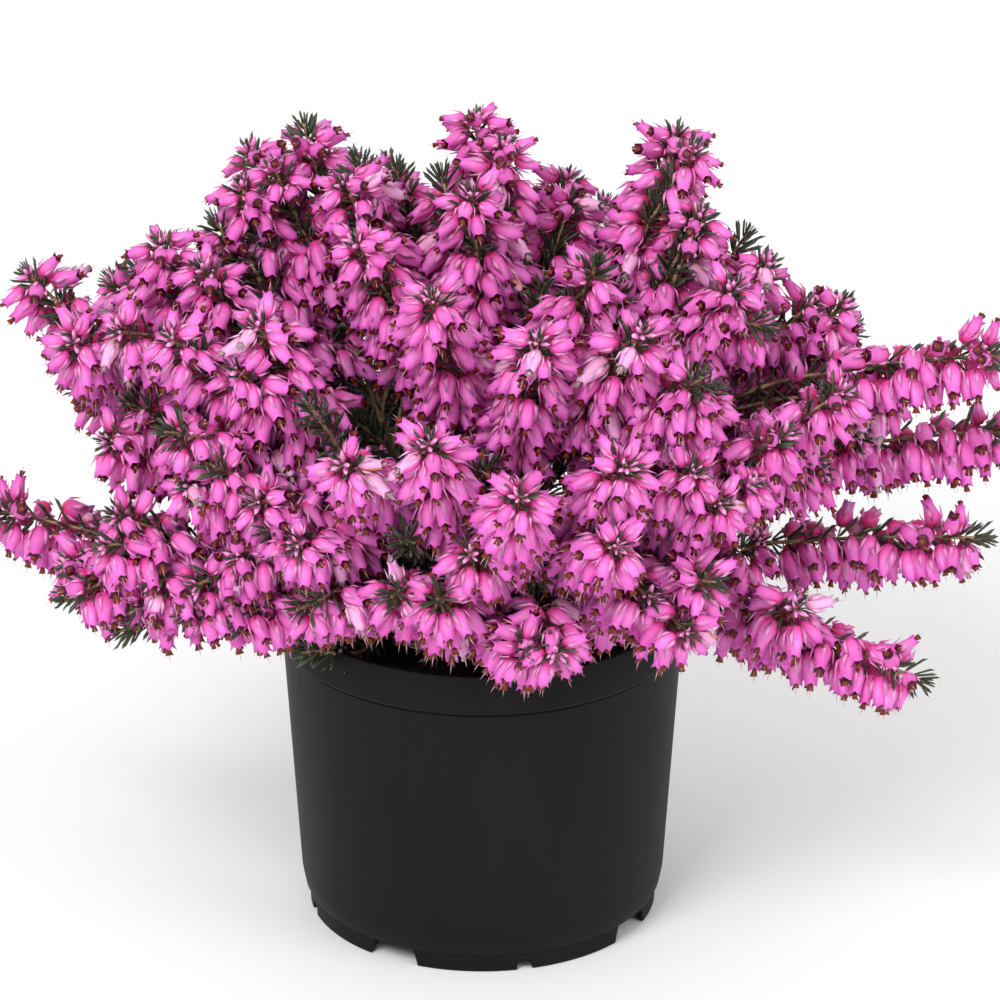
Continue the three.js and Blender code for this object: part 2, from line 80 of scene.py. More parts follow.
bpy.ops.object.camera_add()
camera = bpy.context.object
camera.name = "camera"
camera.data.lens = LENS
camera.data.sensor_width = SENSOR
stand_back = Vector((0, -math.cos(VIEW_ELEVATION), math.sin(VIEW_ELEVATION)))
camera.location = VIEW_CENTRE + VIEW_DISTANCE * stand_back
camera.rotation_euler = (VIEW_AIM - camera.location).to_track_quat("-Z", "Y").to_euler()
bpy.context.scene.camera = camera
print("camera", round(camera.data.lens), "mm")

# %% [markdown]
# ## Materials
# Colours are picked as sRGB hex values, but a shader adds light up in linear ones, so one
# function turns them. Another adds a node with all its settings and links, which keeps every
# material down to a short list.

# %% Colour, node and selection helpers
def linear(hex_colour):
    """An sRGB hex colour as the linear RGBA that a shader socket wants."""
    parts = [int(hex_colour[i:i + 2], 16) / 255 for i in (1, 3, 5)]
    return [p / 12.92 if p <= 0.04045 else ((p + 0.055) / 1.055) ** 2.4 for p in parts] + [1]


def add_node(tree, kind, inputs=(), stops=(), **settings):
    """One node: its settings, its inputs as values or links, and a ramp's colour stops."""
    node = tree.nodes.new("ShaderNode" + kind)
    for name, value in settings.items():
        setattr(node, name, value)
    for name, value in dict(inputs).items():
        if isinstance(value, bpy.types.NodeSocket):
            tree.links.new(value, node.inputs[name])
        else:
            node.inputs[name].default_value = value
    for index, (place, colour) in enumerate(stops):
        elements = node.color_ramp.elements
        element = elements[index] if index < len(elements) else elements.new(place)
        element.position = place
        element.color = linear(colour)
    return node


def new_material(name, **finish):
    """A material with an empty tree but for its shader, and that shader's fixed values."""
    material = bpy.data.materials.new(name)
    material.use_nodes = True
    shader = material.node_tree.nodes["Principled BSDF"]
    for socket, value in finish.items():
        shader.inputs[socket.replace("_", " ")].default_value = value
    return material, material.node_tree, shader


def feed(shader, **sources):
    """Links outputs of other nodes to a shader's inputs."""
    for socket, source in sources.items():
        shader.id_data.links.new(source, shader.inputs[socket.replace("_", " ")])


def mottled(name, roughness, ior, scale, detail, stops, strength, depth):
    """A rough material: one noise, in patches to the metre, gives it its colours and bumps."""
    material, tree, shader = new_material(name, Roughness=roughness, IOR=ior)
    place = add_node(tree, "TexCoord").outputs["Object"]
    noise = add_node(tree, "TexNoise", {"Vector": place, "Scale": scale, "Detail": detail})
    patches = noise.outputs["Fac"]
    tone = add_node(tree, "ValToRGB", {"Fac": patches}, stops=stops)
    bump = add_node(tree, "Bump", {"Height": patches, "Strength": strength, "Distance": depth})
    feed(shader, Base_Color=tone.outputs["Color"], Normal=bump.outputs["Normal"])
    return material


def select_only(*shapes):
    """Selects these shapes and no others, and makes the first of them active."""
    bpy.ops.object.select_all(action="DESELECT")
    for shape in shapes:
        shape.select_set(True)
    bpy.context.view_layer.objects.active = shapes[0]


# %% [markdown]
# ## Studio
# The floor is plain matt white paper, and runs far back so that it meets the bright world
# without a line. One large soft light stands high at the left, a weaker one at the right.

# %% Studio
WORLD_STRENGTH = 0.8
LIGHT_AIM = Vector((0, 0, 0.12))
FLOOR_LEVEL = -0.0002  # just under the pot's foot, so that two faces don't share a plane

bpy.context.scene.view_settings.view_transform = "Standard"
world = bpy.data.worlds.new("studio")
world.use_nodes = True
world.node_tree.nodes["Background"].inputs["Color"].default_value = linear("#ffffff")
world.node_tree.nodes["Background"].inputs["Strength"].default_value = WORLD_STRENGTH
bpy.context.scene.world = world


def soft_light(name, place, size, power):
    """A square area light that looks at the plant."""
    bpy.ops.object.light_add(type="AREA", location=place)
    light = bpy.context.object
    light.name = name
    light.data.size = size
    light.data.energy = power
    light.rotation_euler = (LIGHT_AIM - light.location).to_track_quat("-Z", "Y").to_euler()


soft_light("key", (-0.7, -1.3, 1.5), size=0.8, power=23)
soft_light("fill", (1.2, -0.8, 0.8), size=0.9, power=6)

bpy.ops.mesh.primitive_plane_add(size=12, location=(0, 2, FLOOR_LEVEL))
floor = bpy.context.object
floor.name = "floor"
paper, _, _ = new_material("plain white paper", Roughness=0.7, Base_Color=linear("#fdfdfd"))
floor.data.materials.append(paper)
floor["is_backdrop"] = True
print("studio: 2 lights and a floor")

# %% [markdown]
# ## The plan of the plant
# Four plants stand a quarter turn apart. Each spray is one row: the direction of its tip
# (0 towards the viewer, 90 to the right), the tip's reach and height in mm, the spray's rise
# in degrees, and its length in flower. These are the rows that the solids were built from,
# and the same sequence of draws places the forks, so every fine stem runs inside its solid.

# %% Rows of sprays
PLANTS = {
    "front": (0, [
        (-15, 12, 213, 74, 45), (-15, 52, 200, 60, 48), (14, 62, 192, 58, 50),
        (-26, 84, 163, 35, 45), (-10, 82, 172, 52, 45), (6, 95, 163, 42, 45),
        (-8, 86, 129, 30, 40), (8, 86, 112, 8, 38), (26, 87, 164, 42, 42),
        (22, 95, 145, 25, 40), (37, 70, 192, 52, 46), (40, 96, 128, 20, 42),
        (-43, 85, 138, 24, 40), (-37, 82, 116, 10, 38), (45, 82, 180, 42, 42),
    ]),
    "right": (90, [
        (51, 40, 199, 64, 45), (46, 88, 145, 28, 40), (67, 128, 87, -12, 58),
        (74, 94, 142, 22, 42), (86, 59, 204, 64, 45), (94, 77, 186, 58, 42),
        (97, 98, 171, 50, 48), (86, 140, 164, 8, 48), (92, 141, 135, 5, 46),
        (88, 136, 108, 2, 56), (111, 56, 217, 72, 50), (125, 88, 174, 48, 46),
        (120, 118, 142, 22, 46), (130, 112, 112, 6, 44),
    ]),
    "back": (180, [
        (146, 42, 198, 66, 42), (155, 80, 174, 50, 46), (148, 112, 150, 26, 46),
        (172, 104, 160, 32, 45), (158, 108, 116, 8, 44), (-177, 25, 219, 80, 50),
        (-155, 62, 193, 60, 46), (-160, 96, 170, 40, 45), (-140, 110, 146, 24, 46),
        (-168, 104, 124, 12, 44),
    ]),
    "left": (-90, [
        (-118, 54, 217, 74, 50), (-128, 80, 200, 58, 46), (-115, 112, 162, 36, 46),
        (-120, 116, 116, 8, 46), (-99, 65, 206, 70, 52), (-87, 86, 196, 66, 50),
        (-94, 122, 181, 48, 46), (-107, 35, 214, 76, 45), (-79, 97, 155, 34, 42),
        (-85, 131, 120, 18, 50), (-103, 113, 140, 20, 46), (-53, 42, 205, 62, 50),
        (-55, 80, 178, 50, 46), (-53, 91, 154, 36, 44), (-68, 106, 132, 30, 46),
    ]),
}
TRUNK_RING, TRUNK_TOP, TRUNK_FOOT = 17, 97, 45  # mm: from the pot's middle, and up
print("sprays:", sum(len(rows) for _, rows in PLANTS.values()))

# %% [markdown]
# ### Side sprays
# Shorter sprays between the main ones close the dome. Some fork off a main spray inside its
# flowers: those are in the solids too, as rows of the host's name, how far up it the fork is,
# and the direction, reach and height of the tip. The others fork off a bare stem, and are
# rows of the main kind. So are the leafy shoots that have not flowered, such as the low
# green one at the left.

# %% Rows of side sprays and leafy shoots
FORKED_SPRAYS = [
    ("left_06", 0.3, -73, 101, 180), ("left_06", 0.35, -99, 95, 180),
    ("left_07", 0.25, -79, 110, 173), ("left_09", 0.35, -76, 104, 146),
    ("left_14", 0.2, -59, 92, 144), ("left_15", 0.2, -61, 100, 115),
    ("right_04", 0.35, 75, 100, 162), ("right_05", 0.3, 72, 81, 178),
    ("right_02", 0.35, 64, 91, 156), ("right_07", 0.2, 87, 112, 150),
    ("right_03", 0.2, 59, 97, 109), ("front_12", 0.2, 35, 95, 114),
]
SIDE_SPRAYS = {
    "front": [
        (-45, 85, 145, 25, 38), (-37, 83, 135, 15, 34), (41, 86, 156, 35, 34),
        (31, 87, 124, 10, 30), (-17, 82, 126, 20, 28), (13, 88, 112, -6, 26),
        (-33, 80, 119, 5, 26),
    ],
    "right": [
        (96, 89, 171, 42, 44), (55, 88, 146, 20, 34), (48, 83, 176, 45, 38),
        (73, 70, 190, 58, 44), (78, 94, 135, 10, 38), (95, 57, 219, 62, 42),
        (116, 46, 191, 66, 40),
    ],
    "back": [
        (158, 16, 216, 70, 40), (136, 35, 196, 65, 40), (-142, 38, 203, 68, 40),
        (177, 84, 132, 20, 32), (-174, 74, 158, 45, 34), (164, 82, 130, 18, 30),
        (-152, 84, 124, 12, 30), (178, 58, 182, 60, 34), (-178, 88, 108, -4, 28),
    ],
    "left": [
        (-50, 86, 126, 5, 34), (-76, 115, 110, 0, 24), (-57, 92, 115, -5, 30),
        (-66, 111, 125, 10, 30), (-79, 76, 193, 60, 44), (-61, 94, 186, 45, 40),
        (-53, 75, 190, 55, 40), (-98, 72, 196, 65, 44), (-59, 98, 161, 25, 36),
        (-105, 58, 209, 66, 40), (-90, 37, 211, 68, 40), (-132, 15, 210, 75, 40),
        (-58, 94, 106, -8, 28), (-52, 85, 105, -8, 26), (-70, 119, 107, -10, 26),
        (-66, 105, 103, -10, 26),
    ],
}
LEAFY_SHOOTS = {
    "front": [(-40, 72, 172, 55, 26), (-16, 78, 140, 25, 22), (12, 74, 128, 15, 22)],
    "right": [(90, 17, 182, 78, 26), (85, 57, 200, 70, 22)],
    "back": [(150, 70, 168, 45, 26), (-165, 60, 180, 60, 26)],
    "left": [(-68, 106, 97, -4, 42), (-94, 64, 190, 66, 22), (-60, 86, 150, 35, 20)],
}
print("side sprays:", len(FORKED_SPRAYS) + sum(len(rows) for rows in SIDE_SPRAYS.values()))

# %% Where every stem and spray runs
UP = np.array([0, 0, 1.0])
NECK = 3  # mm from the end of a stem's curve to the first flowers of its spray
TRUNK_OVERLAP = 4  # mm that a stem starts down inside its trunk
FORK_ANGLE = 40  # degrees: a stem forks off an elder that runs closer to its way than this
LEAVE, ARRIVE = 0.3, 0.36  # the handles of a stem's curve, as shares of its span
FACTOR, MODULUS = 48271, 2147483647
draw_state = [20261]


def draw(low, high):
    """The next number of the sequence that places the solids' forks."""
    draw_state[0] = draw_state[0] * FACTOR % MODULUS
    return low + (high - low) * draw_state[0] / MODULUS


def unit(v):
    return v / np.linalg.norm(v, axis=-1, keepdims=True)


def heading(azimuth):
    """The level direction of an azimuth in degrees."""
    turn = math.radians(azimuth)
    return np.array([math.sin(turn), -math.cos(turn), 0])


def trunk_top_of(plant):
    return heading(PLANTS[plant][0]) * TRUNK_RING + UP * TRUNK_TOP


def angle_between(a, b):
    return math.degrees(math.acos(np.clip(np.dot(unit(a), unit(b)), -1, 1)))


def bezier(control, t):
    a, b, c, d = control
    t = np.asarray(t)[..., None]
    return (1 - t) ** 3 * a + 3 * (1 - t) ** 2 * t * b + 3 * (1 - t) * t * t * c + t ** 3 * d


def even_times(control, fractions):
    """The curve times that lie at fractions of its length."""
    times = np.linspace(0, 1, 201)
    steps = np.linalg.norm(np.diff(bezier(control, times), axis=0), axis=1)
    lengths = np.concatenate([[0], np.cumsum(steps)])
    return np.interp(np.asarray(fractions) * lengths[-1], lengths, times)


def tangent_at(control, time):
    return unit(bezier(control, min(time + 1e-4, 1)) - bezier(control, max(time - 1e-4, 0)))


def lay_out(plant, number, row, elders, fork_at):
    """One spray: its straight axis, and the stem that curves up to it from trunk or fork."""
    trunk_top = trunk_top_of(plant)
    azimuth, reach, height, rise, length = row
    axis = heading(azimuth) * math.cos(math.radians(rise)) + UP * math.sin(math.radians(rise))
    tip = heading(azimuth) * reach + UP * height
    base = tip - axis * length
    joint = base - axis * NECK
    run = joint - trunk_top
    near = [e for e in elders if e["host"] is None and angle_between(e["run"], run) < FORK_ANGLE]
    host = min(near, key=lambda e: angle_between(e["run"], run)) if near else None
    if host:
        time = float(even_times(host["curve"], fork_at))
        start, lead = bezier(host["curve"], time), tangent_at(host["curve"], time)
    else:
        start, lead = trunk_top - UP * TRUNK_OVERLAP, UP
    span = np.linalg.norm(joint - start)
    outset = unit(lead + 1.5 * (joint - start) / span)
    curve = (start, start + outset * LEAVE * span, joint - axis * ARRIVE * span, joint)
    return {"plant": plant, "name": f"{plant}_{number:02d}", "axis": axis, "tip": tip,
            "base": base, "length": length, "rise": rise, "run": run, "host": host,
            "curve": curve}


sprays = []
for plant, (_, rows) in PLANTS.items():
    for number, row in enumerate(rows, 1):
        elders = [spray for spray in sprays if spray["plant"] == plant]
        sprays.append(lay_out(plant, number, row, elders, draw(0.35, 0.6)))
print("first stem starts at", np.round(sprays[0]["curve"][0], 1))

# %% Forked sprays
FORK_OUT = 2.4  # mm that a forked spray's foot stands off its host
FORK_NECK = (4.5, 3)  # mm from that foot to its first flowers, and to the end of its curve
FORK_HANDLE = 1.2  # mm


def fork_off(host_name, fork, azimuth, reach, height):
    """One side spray that grows out of a main spray, bare for its first few millimetres."""
    host = next(spray for spray in sprays if spray["name"] == host_name)
    tip = heading(azimuth) * reach + UP * height
    start = host["base"] + (host["tip"] - host["base"]) * fork
    out = tip - start
    out = unit(out - host["axis"] * np.dot(out, host["axis"]))
    foot = start + out * FORK_OUT
    axis = unit(tip - foot)
    base, joint = [foot + axis * length for length in FORK_NECK]
    curve = (start, start + host["axis"] * FORK_HANDLE, joint - axis * FORK_HANDLE, joint)
    return {"plant": host["plant"], "host": host, "axis": axis, "tip": tip, "base": base,
            "length": np.linalg.norm(tip - base), "curve": curve}


forked = [fork_off(*row) for row in FORKED_SPRAYS]
print("forked sprays:", len(forked))

# %% [markdown]
# ## Shapes turned from a ring
# The pot is moulded about its axis, and a bell, a needle and an anther are round in section
# too. Each can start as one ring of points, which is extruded, moved and resized again and
# again, as a potter raises a wall. One function does this for them all.

# %% Turning helper
def turn(name, profile, sides):
    """A closed shape about the Z axis, from (radius, height) pairs in mm that start and end
    on the axis."""
    (_, foot), (radius, height) = profile[:2]
    bpy.ops.mesh.primitive_circle_add(vertices=sides, radius=radius * MM,
                                      location=(0, 0, height * MM), calc_uvs=False)
    shape = bpy.context.object
    shape.name = name
    bpy.ops.object.transform_apply()
    bpy.ops.object.mode_set(mode="EDIT")
    bpy.ops.mesh.select_all(action="SELECT")
    for next_radius, next_height in profile[2:]:
        rise = (0, 0, (next_height - height) * MM)
        bpy.ops.mesh.extrude_region_move(TRANSFORM_OT_translate={"value": rise})
        if next_radius:
            size = next_radius / radius
            bpy.ops.transform.resize(value=(size, size, 1),
                                     center_override=(0, 0, next_height * MM))
        radius, height = next_radius, next_height
    bpy.ops.mesh.merge(type="CENTER")
    bpy.ops.object.mode_set(mode="OBJECT")
    for index, vertex in enumerate(shape.data.vertices):
        vertex.select = index < sides
    bpy.ops.object.mode_set(mode="EDIT")
    drop = (0, 0, (foot - profile[1][1]) * MM)
    bpy.ops.mesh.extrude_region_move(TRANSFORM_OT_translate={"value": drop})
    bpy.ops.mesh.merge(type="CENTER")
    bpy.ops.mesh.select_all(action="SELECT")
    bpy.ops.mesh.normals_make_consistent(inside=False)
    bpy.ops.object.mode_set(mode="OBJECT")
    return shape


def apply_modifier(shape, kind, **settings):
    """A modifier with its settings, applied to the active shape at once."""
    modifier = shape.modifiers.new(kind.lower(), kind)
    for name, value in settings.items():
        setattr(modifier, name, value)
    bpy.ops.object.modifier_apply(modifier=modifier.name)


# %% [markdown]
# ## The pot
# A grower's pot is injection moulded from black polypropylene: a thin wall, a band round the
# rim with a fine groove below it, and a foot ring broken by four wide and four narrow gaps
# that let water out from under it. The wall is turned, and the gaps and drain holes are cut
# with Booleans, which leaves the clean straight edges that a steel mould leaves.

# %% Pot
POT_SIDES = 144
RIM_RADIUS, RIM_HEIGHT, BAND_FOOT = 55, 91.5, 80.2
BASE_RADIUS, FOOT_HEIGHT, WALL = 48.3, 4.7, 1.3
BAND_LIP = 0.6  # mm that the band stands out from the wall
SLOPE = (RIM_RADIUS - BAND_LIP - BASE_RADIUS) / (RIM_HEIGHT - FOOT_HEIGHT)


def wall_radius(height):
    """Radius of the outside of the wall under the band, at a height."""
    return BASE_RADIUS + SLOPE * (height - FOOT_HEIGHT)


# From the dished middle of the floor out to the foot ring, up to the rim and down inside.
pot = turn("pot_shell", [
    (0, 0), (14, 0), (18.7, 4.7), (44.6, 4.7), (44.7, 0), (46.5, 0), (46.6, 4.7), (47.1, 5),
    (47.9, 6.4), (wall_radius(10.7), 10.7), (wall_radius(45), 45),
    (wall_radius(79), 79), (wall_radius(79) - 0.4, 79.5), (wall_radius(79) - 0.4, BAND_FOOT),
    (54.6, BAND_FOOT), (54.95, BAND_FOOT + 0.6), (RIM_RADIUS, 90.9),
    (54.8, 91.35), (54.4, RIM_HEIGHT), (53.4, RIM_HEIGHT), (53.1, 91.2),
    (wall_radius(45) - WALL, 45), (wall_radius(12) - WALL, 12), (46.1, 6.1),
    (18, 6.1), (13.3, 1.4), (0, 1.4),
], POT_SIDES)
print("pot turned:", len(pot.data.polygons), "faces")

# %% Gaps and drain holes
FOOT_RING, GAP_DEPTH, GAP_TAPER = 46.6, 8, 0.72
FOOT_GAPS = [(-31, 17, 4.6), (14, 5, 2.4)]  # azimuth, width and height, four times round
HOLES, HOLE_RING, HOLE_RADIUS = 6, 31, 3.5
SMOOTH_ANGLE = math.radians(28)


def cut_from(shape, cutter):
    """Cuts one shape out of another and removes the cutter."""
    bpy.context.view_layer.objects.active = shape
    apply_modifier(shape, "BOOLEAN", operation="DIFFERENCE", object=cutter, solver="EXACT")
    bpy.data.objects.remove(cutter)


def foot_gap(azimuth, width, height):
    """A block that is wider below, standing across the foot ring at an azimuth."""
    bpy.ops.mesh.primitive_cube_add(size=1)
    block = bpy.context.object
    block.scale = (width * MM, GAP_DEPTH * MM, 2 * height * MM)
    bpy.ops.object.transform_apply()
    for vertex in block.data.vertices:
        if vertex.co.z > 0:
            vertex.co.x *= GAP_TAPER
    block.rotation_euler = (0, 0, math.radians(azimuth))
    block.location = Vector(heading(azimuth) * FOOT_RING * MM)
    bpy.ops.object.transform_apply()
    return block


for quarter in range(4):
    for azimuth, width, height in FOOT_GAPS:
        cut_from(pot, foot_gap(azimuth + 90 * quarter, width, height))
for index in range(HOLES):
    place = Vector(heading(360 // HOLES * index) * HOLE_RING * MM)
    bpy.ops.mesh.primitive_cylinder_add(vertices=24, radius=HOLE_RADIUS * MM, depth=20 * MM,
                                        location=place)
    bpy.ops.object.transform_apply()
    cut_from(pot, bpy.context.object)
select_only(pot)
bpy.ops.object.shade_smooth_by_angle(angle=SMOOTH_ANGLE)
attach(pot, "root")
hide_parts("pot")
print("pot:", len(pot.data.polygons), "faces")

# %% [markdown]
# ### Moulded black polypropylene
# Polypropylene with carbon black is a very dark warm grey, never pure black, and it comes
# out of a blasted mould with a soft satin skin: fine grain breaks the light up and there are
# faint flow marks, 17 mm wide and 70 mm long. The grain is 0.4 mm here, a little coarser than
# real, so that the render can show it. The index of refraction is that of the plastic, 1.49.

# %% Pot material
GRAIN_SCALE, FLOW_SCALE = 2500.0, (60, 60, 14)  # grains and flow marks to the metre

plastic, tree, shader = new_material("moulded black polypropylene", IOR=1.49,
                                     Specular_IOR_Level=0.12)
place = add_node(tree, "TexCoord").outputs["Object"]
grain = add_node(tree, "TexNoise", {"Vector": place, "Scale": GRAIN_SCALE, "Detail": 3.0})
stretched = add_node(tree, "Mapping", {"Vector": place, "Scale": FLOW_SCALE}).outputs["Vector"]
marks = add_node(tree, "TexNoise", {"Vector": stretched, "Scale": 1.0, "Detail": 4.0})
flow = marks.outputs["Fac"]
tone = add_node(tree, "ValToRGB", {"Fac": flow}, stops=[(0.3, "#0f0f0f"), (0.7, "#161616")])
gloss = add_node(tree, "MapRange", {"Value": flow, "From Min": 0.3, "From Max": 0.7,
                                    "To Min": 0.5, "To Max": 0.62})
bump = add_node(tree, "Bump", {"Height": grain.outputs["Fac"], "Strength": 0.25,
                               "Distance": 0.0001})
feed(shader, Base_Color=tone.outputs["Color"], Roughness=gloss.outputs["Result"],
     Normal=bump.outputs["Normal"])
pot.data.materials.append(plastic)
print("pot material done")

# %% [markdown]
# ## The peat
# Under the plant the pot is filled with peat to just below the band. Only its top shows,
# between the stems, as dark crumbs. The body is turned like the pot, its top is split into
# a close grid of rings and pushed up and down by a cloud texture, and a few hundred crumbs
# are strewn over it from one shape.

# %% Peat body
PEAT_SIDES = 96
PEAT_GAP = 0.4  # mm between the peat and the wall
PEAT_RINGS, RING_STEP = 25, 2.0
TOP_FROM, TOP_WITHIN = 82.6, 51.5  # mm: only the points above and inside these are crumbled


def peat_height(radius):
    """The mounded top: 86.5 mm in the middle, 83 mm at the wall."""
    return float(np.interp(radius, [0, 34, 51.5], [86.5, 85.2, 83]))


def peat_radius(height):
    """Radius of the peat where it meets the wall, at a height."""
    return wall_radius(height) - WALL - PEAT_GAP


peat_rings = [peat_radius(83) - RING_STEP * ring for ring in range(PEAT_RINGS)]
peat = turn("peat_fill", [
    (0, 1.8), (12.9, 1.8), (17.5, 6.5), (45.6, 6.5),
] + [(peat_radius(height), height) for height in (12, 45, 82)
     ] + [(radius, peat_height(radius)) for radius in peat_rings] + [(0, 86.5)], PEAT_SIDES)
top_group = peat.vertex_groups.new(name="top")
top = [v.index for v in peat.data.vertices
       if v.co.z > TOP_FROM * MM and math.hypot(v.co.x, v.co.y) < TOP_WITHIN * MM]
top_group.add(top, 1, "REPLACE")
crumble = bpy.data.textures.new("crumble", "CLOUDS")
crumble.noise_scale = 0.004
apply_modifier(peat, "DISPLACE", texture=crumble, texture_coords="LOCAL", direction="Z",
               strength=0.0035, mid_level=0.55, vertex_group="top")
bpy.ops.object.shade_smooth()
print("peat:", len(peat.data.polygons), "faces")

# %% [markdown]
# ## Stamping copies
# What repeats on the plant is modelled once: a flower, a needle, a crumb. A stamp turns,
# sizes and moves that model's points to each place, and joins all the copies in one mesh.
# A copy's colour comes from its UV map: across it runs a strip of the colours of the model's
# parts, and up it a tone, which every copy draws for itself.

# %% Stamp helper
rng = np.random.default_rng(11)


def model_data(shape):
    """Points, corner counts, corner points and corner UVs of a finished model, as arrays."""
    mesh = shape.data
    points = np.empty(len(mesh.vertices) * 3)
    mesh.vertices.foreach_get("co", points)
    corners = np.empty(len(mesh.loops), np.int32)
    mesh.loops.foreach_get("vertex_index", corners)
    counts = np.array([len(face.vertices) for face in mesh.polygons], np.int32)
    places = np.zeros(len(mesh.loops) * 2)
    if mesh.uv_layers:
        mesh.uv_layers.active.data.foreach_get("uv", places)
    bpy.data.objects.remove(shape)
    return points.reshape(-1, 3), counts, corners, places.reshape(-1, 2)


def turned_to(directions, spins):
    """Rotations that turn Z to each direction, with a spin about it."""
    z = unit(directions)
    helper = np.where(np.abs(z[:, 2:]) < 0.9, UP, np.array([1.0, 0, 0]))
    x = unit(np.cross(helper, z))
    y = np.cross(z, x)
    c, s = np.cos(spins)[:, None], np.sin(spins)[:, None]
    return np.stack([x * c + y * s, y * c - x * s, z], axis=2)


def stamp(name, model, places, turns, sizes, tones, material):
    """One mesh of copies of a model: at places in mm, with rotations, sizes and tones."""
    points, counts, corners, uvs = model
    copies = len(places)
    sized = points[None] * np.reshape(sizes, (copies, 1, -1))
    spread = np.einsum("nij,nkj->nki", turns, sized) + np.asarray(places)[:, None] * MM
    mesh = bpy.data.meshes.new(name)
    mesh.vertices.add(copies * len(points))
    mesh.vertices.foreach_set("co", spread.reshape(-1))
    mesh.loops.add(copies * len(corners))
    shift = (np.arange(copies) * len(points))[:, None]
    mesh.loops.foreach_set("vertex_index", (corners[None] + shift).astype(np.int32).reshape(-1))
    mesh.polygons.add(copies * len(counts))
    all_counts = np.tile(counts, copies)
    starts = np.concatenate([[0], np.cumsum(all_counts)[:-1]]).astype(np.int32)
    mesh.polygons.foreach_set("loop_start", starts)
    mesh.polygons.foreach_set("loop_total", all_counts.astype(np.int32))
    layer = mesh.uv_layers.new(name="OFBake")
    strip = np.repeat(uvs[None], copies, axis=0)
    strip[:, :, 1] = 0.02 + 0.93 * np.asarray(tones)[:, None] + 0.03 * strip[:, :, 1]
    layer.data.foreach_set("uv", strip.reshape(-1))
    mesh.update(calc_edges=True)
    mesh.validate()
    mesh.shade_smooth()
    piece = bpy.data.objects.new(name, mesh)
    bpy.context.collection.objects.link(piece)
    mesh.materials.append(material)
    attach(piece, "root")
    return piece


# %% [markdown]
# ### Moist peat
# Peat is dug, milled and sieved, and the damp keeps it dark brown and almost without gloss.
# Its patches are 2.2 mm wide, the size of the coarser crumbs, and they stand up by 0.6 mm.

# %% Crumbs on the peat
CRUMBS, CRUMB_REACH, CRUMB_LIFT = 420, 49.5, 0.2

bpy.ops.mesh.primitive_ico_sphere_add(subdivisions=1, radius=1 * MM)
crumb = bpy.context.object
for vertex in crumb.data.vertices:
    vertex.co *= 0.75 + 0.5 * rng.random()
angles = rng.uniform(0, 2 * math.pi, CRUMBS)
radii = CRUMB_REACH * np.sqrt(rng.uniform(0, 1, CRUMBS))
heights = np.array([peat_height(radius) for radius in radii]) + CRUMB_LIFT
crumb_places = np.stack([radii * np.cos(angles), radii * np.sin(angles), heights], axis=1)
crumb_turns = turned_to(unit(rng.normal(size=(CRUMBS, 3))), angles)
earth = mottled("moist peat", 0.92, 1.4, scale=450.0, detail=6.0, strength=0.7, depth=0.0006,
                stops=[(0.3, "#0d0805"), (0.55, "#1d130c"), (0.75, "#3a2918")])
crumbs = stamp("peat_crumbs", model_data(crumb), crumb_places, crumb_turns,
               rng.uniform(0.6, 1.9, CRUMBS), np.zeros(CRUMBS), earth)
peat.data.materials.append(earth)
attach(peat, "root")
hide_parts("soil")
print("crumbs:", CRUMBS)

# %% [markdown]
# ## Stems
# The stems are thin wood, and each runs on through its flowers almost to the tip. A curve
# object with a round bevel is the quick way to a tapered rod: every stem is one spline in the
# curve of its plant, with a thickness at each point. Converted to a mesh, the curve has closed
# ends and faces outwards.

# %% Stem paths
BOW, BOW_UP = 1.2, 0.8  # mm that a spray's middle stands off its straight axis, and a share
CURVE_STEPS, AXIS_STEPS = 12, 6
TIP_GAP = 1.5  # mm from the stem's end to the spray's tip


def down_across(axis):
    """The part of straight down that is square to an axis."""
    return -UP + axis * axis[2]


def axis_points(spray, distances):
    """Points along the gently bowed axis of a spray, at distances in mm from its base."""
    distances = np.asarray(distances, float)
    bow = np.sin(np.pi * np.clip(distances / spray["length"], 0, 1)) * BOW
    up_across = -down_across(spray["axis"]) * BOW_UP
    return spray["base"] + distances[:, None] * spray["axis"] + bow[:, None] * up_across


def stem_path(spray):
    """Points of the whole stem, from its fork to just under its tip."""
    climb = bezier(spray["curve"], even_times(spray["curve"], np.linspace(0, 1, CURVE_STEPS)))
    through = axis_points(spray, np.linspace(0, spray["length"] - TIP_GAP, AXIS_STEPS))
    return np.concatenate([climb, through])


def rods(name, paths):
    """One mesh of tapered rods, from lists of (points in mm, radii in mm)."""
    bpy.ops.curve.primitive_bezier_curve_add()
    curve = bpy.context.object
    curve.name = name
    data = curve.data
    data.splines.clear()
    data.dimensions = "3D"
    data.bevel_depth = MM
    data.bevel_resolution = 1  # six sides
    data.use_fill_caps = True
    for points, radii in paths:
        spline = data.splines.new("POLY")
        spline.points.add(len(points) - 1)
        weighted = np.column_stack([points * MM, np.ones(len(points))])
        spline.points.foreach_set("co", weighted.reshape(-1))
        spline.points.foreach_set("radius", radii)
    select_only(curve)
    bpy.ops.object.convert(target="MESH")
    rod = bpy.context.object
    bpy.ops.object.shade_smooth()
    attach(rod, "root")
    return rod


print("stem path:", CURVE_STEPS + AXIS_STEPS, "points")

# %% [markdown]
# ### Young bark
# Two-year-old heath bark is matt and flakes a little, which shows as tan and brown patches
# 3.3 mm long with edges 0.3 mm high.

# %% Bark
bark = mottled("young heath bark", 0.75, 1.45, scale=300.0, detail=5.0, strength=0.6, depth=0.0003,
               stops=[(0.3, "#4c382a"), (0.5, "#94775c"), (0.7, "#c8ab88")])
print("bark material done")

